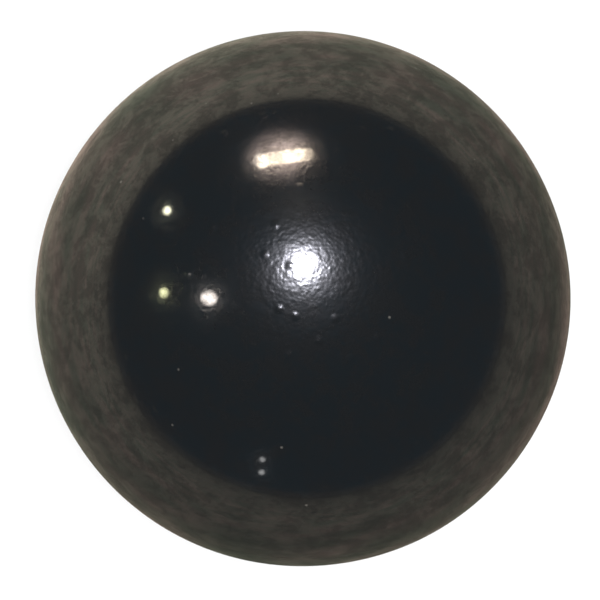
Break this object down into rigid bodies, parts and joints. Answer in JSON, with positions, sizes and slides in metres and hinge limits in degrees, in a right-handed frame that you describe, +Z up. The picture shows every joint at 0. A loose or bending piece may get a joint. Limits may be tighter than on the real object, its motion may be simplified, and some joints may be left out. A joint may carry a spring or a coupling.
{
  "type": "watch case friction ball",
  "caption": "Soft hollow rubber ball with a tacky black skin and a needle valve, pressed and turned by hand to unscrew or tighten a screw-down watch case back.",
  "frame": {"origin": "centre of the small flat that the ball's own weight presses into its underside, on the surface it stands on", "axes": "+Z up from the rest flat through the ball's centre, +X along the valve axis, out of the needle hole, +Y completes a right-handed set"},
  "size_m": [0.0648, 0.065, 0.0648],
  "materials": {
    "tacky_rubber": "glossy, tacky, smooth moulded black rubber with a faint cloudy bloom and a little dust",
    "core_rubber": "matt moulded natural rubber, dusted with talc on the inside",
    "rubber_cement": "cured amber rubber cement, slightly shiny",
    "housing_rubber": "satin grey moulded rubber",
    "plug_rubber": "satin black moulded rubber",
    "sealing_gum": "soft uncured tan gum rubber"
  },
  "bodies": {
    "root": {"friction_skin": "tacky_rubber", "core_half_valve_side": "core_rubber", "core_half_far_side": "core_rubber", "core_seam": "rubber_cement", "valve_housing": "housing_rubber", "valve_plug": "plug_rubber", "sealing_gum": "sealing_gum"}
  },
  "joints": []
}
